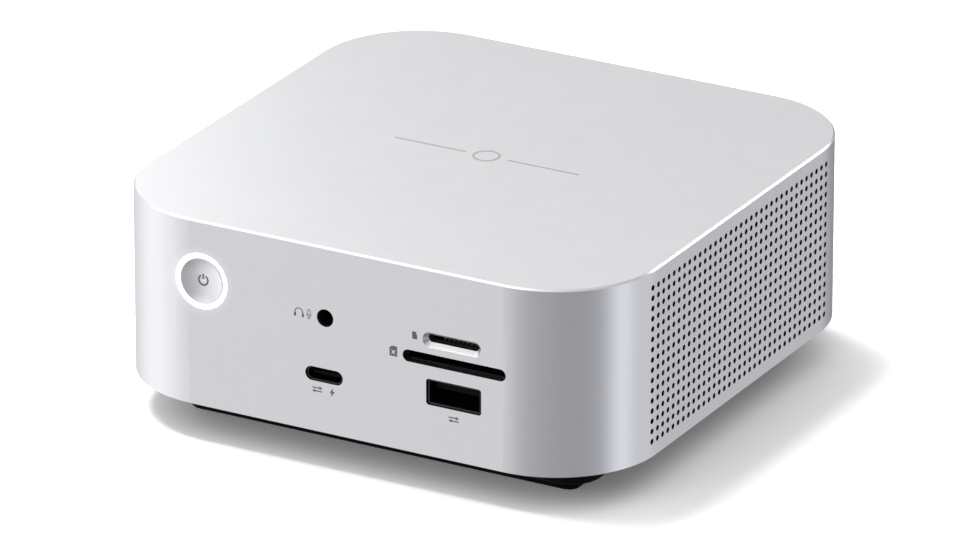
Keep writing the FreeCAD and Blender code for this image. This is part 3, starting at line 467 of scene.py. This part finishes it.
def two_way_mark(u, v):
    """Two opposed arrows, for data both ways."""
    marks = []
    for side in (-1, 1):
        line = v + side * 0.38
        marks.append(bar(u - side * 0.35, line, 1.8, 0.26))
        tip = u + side * 1.32
        marks.append([(tip, line), (tip - side * 0.80, line + 0.42), (tip - side * 0.80, line - 0.42)][::side])
    return marks


def bolt_mark(u, v):
    """A lightning bolt, for charging."""
    shape = [(0.30, 1.12), (-0.64, -0.20), (-0.10, -0.20), (-0.30, -1.12), (0.64, 0.20), (0.10, 0.20)]
    return [[(u + a, v + b) for a, b in shape]]


def power_mark(u, v):
    return [stroke(arc(u, v, 1.15, 122, 418, 36), 0.40), bar(u, v + 0.84, 0.40, 1.2)]


def network_mark(u, v):
    boxes = [bar(u + a, v + b, 0.7, 0.55) for a, b in ((0, 0.8), (-0.95, -0.8), (0.95, -0.8))]
    lines = [bar(u, v + 0.27, 0.14, 0.55), bar(u, v, 1.9, 0.14)]
    drops = [bar(u + a, v - 0.28, 0.14, 0.52) for a in (-0.88, 0.88)]
    return [*boxes, *lines, *drops]


def supply_mark(u, v):
    """A long bar over three short ones, for direct current."""
    return [bar(u, v + 0.28, 2.4, 0.2), *[bar(u + a, v - 0.28, 0.56, 0.2) for a in (-0.92, 0, 0.92)]]


def host_mark(u, v):
    """An open laptop."""
    screen = [
        bar(u, v + 0.95, 2.0, 0.16), bar(u - 0.92, v + 0.3, 0.16, 1.2), bar(u + 0.92, v + 0.3, 0.16, 1.2),
        bar(u, v - 0.3, 2.0, 0.16),
    ]
    return [*screen, bar(u, v - 0.68, 2.9, 0.22)]


# the front marks' drop below the USB ports' middle, and the heights of the others
MARK_DROP = 3.6
MICRO_MARK_HIGH, SD_MARK_HIGH = 36.0, 31.25
REAR_MARKS_HIGH, NETWORK_MARK_HIGH = 17.7, 17.3
# the mark on the top: a ring between two bars
TOP_LINE, TOP_RING, TOP_BAR_OUT, TOP_BAR_LONG = 0.58, 2.9, 14.2, 18.0


def make_marks():
    level = USB_C.z - MARK_DROP
    front = [
        *headphone_mark(JACK.x - 6.55, JACK.z + 0.15), *microphone_mark(JACK.x - 4.05, JACK.z + 0.15),
        *micro_card_mark(MICRO.x - 9.15, MICRO_MARK_HIGH), *card_mark(SD.x - 15.0, SD_MARK_HIGH),
        *two_way_mark(USB_C.x - 1.7, level), *bolt_mark(USB_C.x + 2.0, level),
        *two_way_mark(USB_A.x, level - 0.1),
    ]
    printed("front_marks", front, on_front, INK)
    rear = []
    for node in ("rear_usb_c_shell_b", "rear_usb_c_shell_c"):
        rear += two_way_mark(middle(node).x, REAR_MARKS_HIGH)
    rear += host_mark(middle("rear_usb_c_shell_a").x, REAR_MARKS_HIGH)
    rear += two_way_mark(middle("rear_usb_a_shell_lower").x, REAR_MARKS_HIGH)
    rear += network_mark(middle("network_jack").x, NETWORK_MARK_HIGH)
    rear += supply_mark(middle("dc_inlet").x, REAR_MARKS_HIGH)
    printed("rear_marks", rear, on_rear, INK)
    printed("power_mark", power_mark(BUTTON.x, BUTTON.z - 0.05), on_cap, INK, body="button")
    bm = bmesh.new()
    ring(bm, 0, 0, TOP_RING, TOP_LINE, on_top)
    for side in (-1, 1):
        prism(bm, pill(side * TOP_BAR_OUT, 0, TOP_BAR_LONG, TOP_LINE), on_top)
    piece("top_mark", bm, ETCHED)


def add_block(bm, low, high, round_off=0.0):
    """A small block between two corners, its edges broken by round_off."""
    made = bmesh.ops.create_cube(bm, size=1.0)
    size, centre = (high - low) * MM, (high + low) / 2 * MM
    for vert in made["verts"]:
        vert.co = Vector(c * s for c, s in zip(vert.co, size)) + centre
    if round_off:
        edges = list({e for v in made["verts"] for e in v.link_edges})
        bmesh.ops.bevel(bm, geom=edges, offset=round_off * MM, segments=2, affect="EDGES", profile=0.5)


# USB-A: where the springs are across the port, their width, how deep they start and end, and how high over
# the port's middle
USB_A_SPRINGS = (-3.5, -1.0, 1.0, 3.5)
USB_A_SPRING_WIDE, USB_A_SPRING_FROM, USB_A_SPRING_TO = 1.0, 3.2, 9.8
USB_A_SPRING_LOW, USB_A_SPRING_HIGH = 0.27, 0.37
# USB-C: the same for the rows of pads on the two sides of the tongue
USB_C_PADS, USB_C_PITCH = 12, 0.5
USB_C_PAD_WIDE, USB_C_PAD_FROM, USB_C_PAD_TO = 0.26, 1.7, 5.0
USB_C_BLADE_HALF, USB_C_PAD_HALF = 0.35, 0.015


def make_contacts():
    """Gold springs on the USB tongues. Inward is +1 in the front wall and -1 in the rear wall."""
    for name, places, inward in (
        ("front_usb_a_contacts", [USB_A], 1),
        ("rear_usb_a_contacts", [middle("rear_usb_a_shell_lower"), middle("rear_usb_a_shell_upper")], -1),
    ):
        bm = bmesh.new()
        mouth = FRONT if inward > 0 else REAR
        ends = sorted((mouth + inward * USB_A_SPRING_FROM, mouth + inward * USB_A_SPRING_TO))
        for spot in places:
            for x in USB_A_SPRINGS:
                low = Vector((spot.x + x - USB_A_SPRING_WIDE / 2, ends[0], spot.z + USB_A_SPRING_LOW))
                high = Vector((spot.x + x + USB_A_SPRING_WIDE / 2, ends[1], spot.z + USB_A_SPRING_HIGH))
                add_block(bm, low, high, 0.03)
        piece(name, bm, FINISHES["gold"])
    for name, columns, inward in (
        ("front_usb_c_contacts", [USB_C.x], 1),
        ("rear_usb_c_contacts", [middle("rear_usb_c_shell_" + key).x for key in "abc"], -1),
    ):
        bm = bmesh.new()
        mouth = FRONT if inward > 0 else REAR
        ends = sorted((mouth + inward * USB_C_PAD_FROM, mouth + inward * USB_C_PAD_TO))
        for x in columns:
            for i in range(USB_C_PADS):
                u = x + (i - (USB_C_PADS - 1) / 2) * USB_C_PITCH
                for side in (-1, 1):
                    edge = USB_C.z + side * USB_C_BLADE_HALF
                    low = Vector((u - USB_C_PAD_WIDE / 2, ends[0], edge - USB_C_PAD_HALF))
                    high = Vector((u + USB_C_PAD_WIDE / 2, ends[1], edge + USB_C_PAD_HALF))
                    add_block(bm, low, high)
        piece(name, bm, FINISHES["gold"])


# the network jack's lamps: how far to each side, how far below its top, and their size
LAMP_OUT, LAMP_DROP = 6.3, 1.5
LAMP_HALF_WIDE, LAMP_HALF_TALL = 1.1, 0.75
LAMP_SUNK, LAMP_PROUD = 0.4, 0.02


def make_network_lamps():
    face, top = (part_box("network_jack")[1][i] / MM for i in (1, 2))
    height = top - LAMP_DROP
    for name, side, made in (("network_lamp_left", 1, AMBER), ("network_lamp_right", -1, GREEN)):
        bm = bmesh.new()
        x = middle("network_jack").x + side * LAMP_OUT
        low = Vector((x - LAMP_HALF_WIDE, face - LAMP_SUNK, height - LAMP_HALF_TALL))
        high = Vector((x + LAMP_HALF_WIDE, face + LAMP_PROUD, height + LAMP_HALF_TALL))
        add_block(bm, low, high, 0.1)
        piece(name, bm, made)


# the studio


def make_floor():
    bm = bmesh.new()
    bmesh.ops.create_grid(bm, x_segments=2, y_segments=2, size=6)
    mesh = bpy.data.meshes.new("floor")
    bm.to_mesh(mesh)
    bm.free()
    floor = bpy.data.objects.new("floor", mesh)
    bpy.context.scene.collection.objects.link(floor)
    made = common(
        "floor_paper", (0.95, 0.95, 0.95), 0.85,
        cloud=300.0, spread=0.03, vary=0.004, grain=3.0, depth=0.01,
    )
    made.put(Specular_IOR_Level=0.1, Emission_Color=(1, 1, 1, 1), Emission_Strength=0.11)
    dress(floor, made)
    floor.visible_glossy = False


WHITE = (1.0, 1.0, 1.0)
WALLS = [
    # azimuth in degrees, strength, tint: the soft walls of light round the object, anticlockwise from above
    (-180, 0.28, (0.97, 0.98, 1.03)),
    (-150, 0.45, (1.0, 0.995, 1.01)),
    (-128, 0.90, (1.0, 0.995, 1.01)),
    (-104, 1.17, (0.99, 0.985, 1.01)),
    (-80, 1.62, (0.99, 0.985, 1.01)),
    (-50, 1.20, (1.0, 1.0, 1.01)),
    (-34, 1.12, (1.0, 1.0, 1.01)),
    (-20, 0.77, (1.0, 1.0, 1.01)),
    (0, 0.56, (0.99, 0.98, 1.02)),
    (26, 0.54, (0.99, 0.98, 1.02)),
    (76, 0.41, (0.98, 0.985, 1.02)),
    (90, 1.15, (0.95, 0.97, 1.04)),
    (102, 1.50, (0.95, 0.97, 1.04)),
    (114, 0.66, (0.98, 0.99, 1.01)),
    (134, 0.98, (0.99, 0.995, 1.01)),
    (152, 0.76, (0.985, 0.99, 1.02)),
    (180, 0.28, (0.97, 0.98, 1.03)),
]
SKY = [
    # azimuth in degrees, strength, tint: the light above the walls, brightest at the front on the left
    (-180, 0.47, WHITE),
    (-150, 0.57, WHITE),
    (-90, 1.00, WHITE),
    (-58, 1.60, WHITE),
    (-28, 1.60, WHITE),
    (2, 0.25, WHITE),
    (50, 0.06, WHITE),
    (130, 0.06, WHITE),
    (160, 0.30, WHITE),
    (180, 0.47, WHITE),
]
# the ceiling's strength, and the strength that a ramp colour of 1 stands for
CEILING = 0.85
BRIGHTEST = 1.7
SOFTBOXES = [
    # name, place and aim in metres, width and height in metres, watts
    ("key", facing(-98, 69), (0, 0, 0), (0.42, 0.42), 15.0),
    ("rim", (-0.58, 0.47, 0.34), (0, 0, 0.05), (0.4, 0.3), 0.28),
    ("edge", facing(157, 28), (0, 0, 0.05), (0.3, 0.2), 0.9),
]


def make_world():
    """Soft walls and a sky above them, brighter and dimmer by azimuth, under a broad ceiling light."""
    world = bpy.data.worlds.new("studio")
    bpy.context.scene.world = world
    world.use_nodes = True
    world.node_tree.nodes.clear()

    def add(kind, inputs=(), **settings):
        return add_node(world.node_tree, kind, inputs, **settings)

    toward = add("ShaderNodeTexCoord").outputs["Generated"]
    parts = add("ShaderNodeSeparateXYZ", {0: toward}).outputs
    ahead = add("ShaderNodeMath", {0: parts["Y"], 1: -1.0}, operation="MULTIPLY").outputs[0]
    turn = add("ShaderNodeMath", {0: parts["X"], 1: ahead}, operation="ARCTAN2").outputs[0]
    around = add("ShaderNodeMapRange", {"Value": turn, "From Min": -math.pi, "From Max": math.pi}).outputs[0]

    def by_azimuth(table):
        ramp = add("ShaderNodeValToRGB", {"Fac": around})
        ramp.color_ramp.interpolation = "B_SPLINE"
        stops = ramp.color_ramp.elements
        while len(stops) < len(table):
            stops.new(0.5)
        for stop, (azimuth, strength, tint) in zip(stops, table):
            stop.position = (azimuth + 180) / 360
            stop.color = (*[strength / BRIGHTEST * t for t in tint], 1)
        return ramp.outputs["Color"]

    def by_height(start, end, low, high):
        links = {"Value": parts["Z"], "From Min": start, "From Max": end, "To Min": low, "To Max": high}
        return add("ShaderNodeMapRange", links, interpolation_type="SMOOTHSTEP").outputs["Result"]

    sides = {0: by_height(-0.95, -0.5, 0.35, 1.0), 1: by_height(-0.12, 0.3, BRIGHTEST, 0.0)}
    fade = add("ShaderNodeMath", sides, operation="MULTIPLY").outputs[0]
    walls = add("ShaderNodeBackground", {"Color": by_azimuth(WALLS), "Strength": fade})
    band = {0: by_height(-0.1, 0.3, 0.0, BRIGHTEST), 1: by_height(0.5, 1.0, 1.0, 0.0)}
    lift = add("ShaderNodeMath", band, operation="MULTIPLY").outputs[0]
    sky = add("ShaderNodeBackground", {"Color": by_azimuth(SKY), "Strength": lift})
    overhead = by_height(0.05, 1.0, 0.0, CEILING)
    ceiling = add("ShaderNodeBackground", {"Color": (1, 1, 1, 1), "Strength": overhead})
    lower = add("ShaderNodeAddShader", {0: walls.outputs[0], 1: sky.outputs[0]})
    both = add("ShaderNodeAddShader", {0: lower.outputs[0], 1: ceiling.outputs[0]})
    add("ShaderNodeOutputWorld", {"Surface": both.outputs[0]})


def make_softbox(name, place, aim, size, watts):
    data = bpy.data.lights.new(name, "AREA")
    data.shape = "RECTANGLE"
    data.size, data.size_y = size
    data.energy = watts
    lamp = bpy.data.objects.new(name, data)
    lamp.location = place
    lamp.rotation_mode = "QUATERNION"
    lamp.rotation_quaternion = (Vector(aim) - Vector(place)).to_track_quat("-Z", "Y")
    bpy.context.scene.collection.objects.link(lamp)


def make_studio():
    make_floor()
    make_world()
    for softbox in SOFTBOXES:
        make_softbox(*softbox)
    bpy.context.scene.view_settings.view_transform = "Standard"


make_camera()
dress_frame()
make_marks()
make_contacts()
make_network_lamps()
make_studio()
